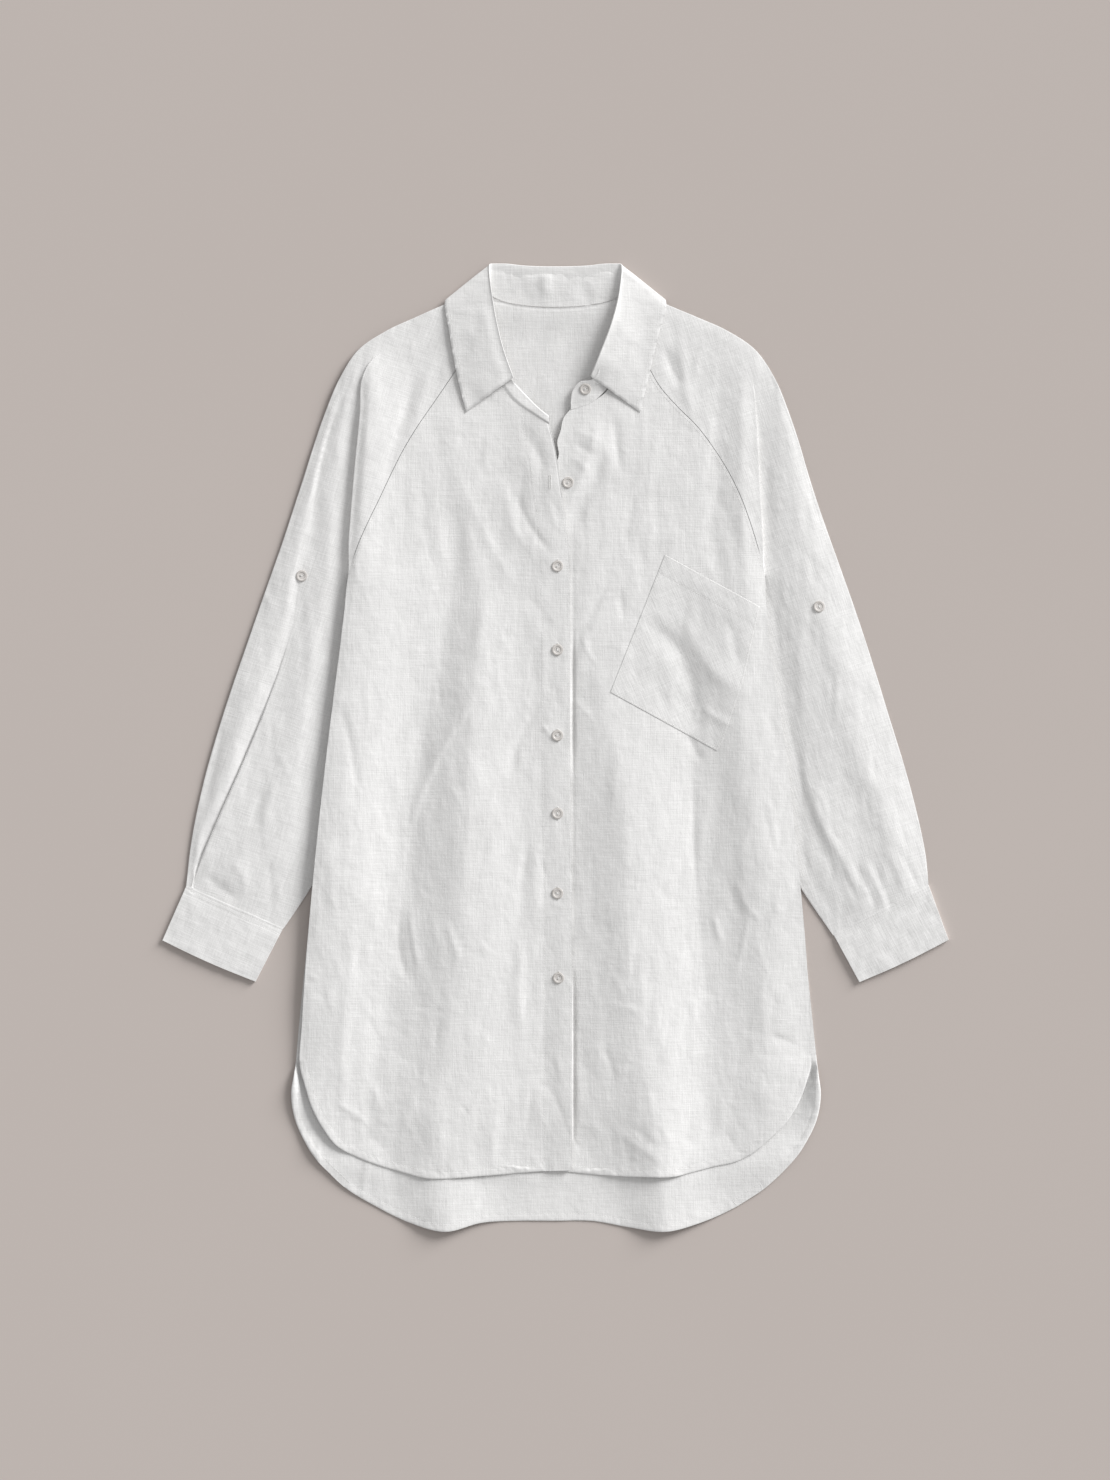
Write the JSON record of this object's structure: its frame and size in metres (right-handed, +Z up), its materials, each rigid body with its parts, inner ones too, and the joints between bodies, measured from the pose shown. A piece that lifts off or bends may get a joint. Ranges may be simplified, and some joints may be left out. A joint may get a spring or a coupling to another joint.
{
  "type": "button-up shirt",
  "caption": "Long linen button-up shirt laid flat, with a pointed collar, raglan sleeves with buttoned cuffs, a slanted patch pocket and a shirt-tail hem longer at the back.",
  "frame": {"origin": "middle of the outline, on the surface that the shirt lies on", "axes": "+Z up out of the shirt's front, +Y towards the collar, +X towards the wearer's left sleeve"},
  "size_m": [0.8179, 1.0081, 0.0237],
  "materials": {
    "linen": "washed plain-weave linen",
    "button_shell": "polished shell"
  },
  "bodies": {
    "root": {"back": "linen", "front_right": "linen", "front_left": "linen", "placket": "linen", "sleeve_front_right": "linen", "sleeve_front_left": "linen", "sleeve_back_right": "linen", "sleeve_back_left": "linen", "cuff_right": "linen", "cuff_left": "linen", "collar_stand": "linen", "collar": "linen", "pocket": "linen", "button_1": "button_shell", "button_2": "button_shell", "button_3": "button_shell", "button_4": "button_shell", "button_5": "button_shell", "button_6": "button_shell", "button_7": "button_shell", "button_8": "button_shell", "sleeve_button_right": "button_shell", "sleeve_button_left": "button_shell"}
  },
  "joints": []
}
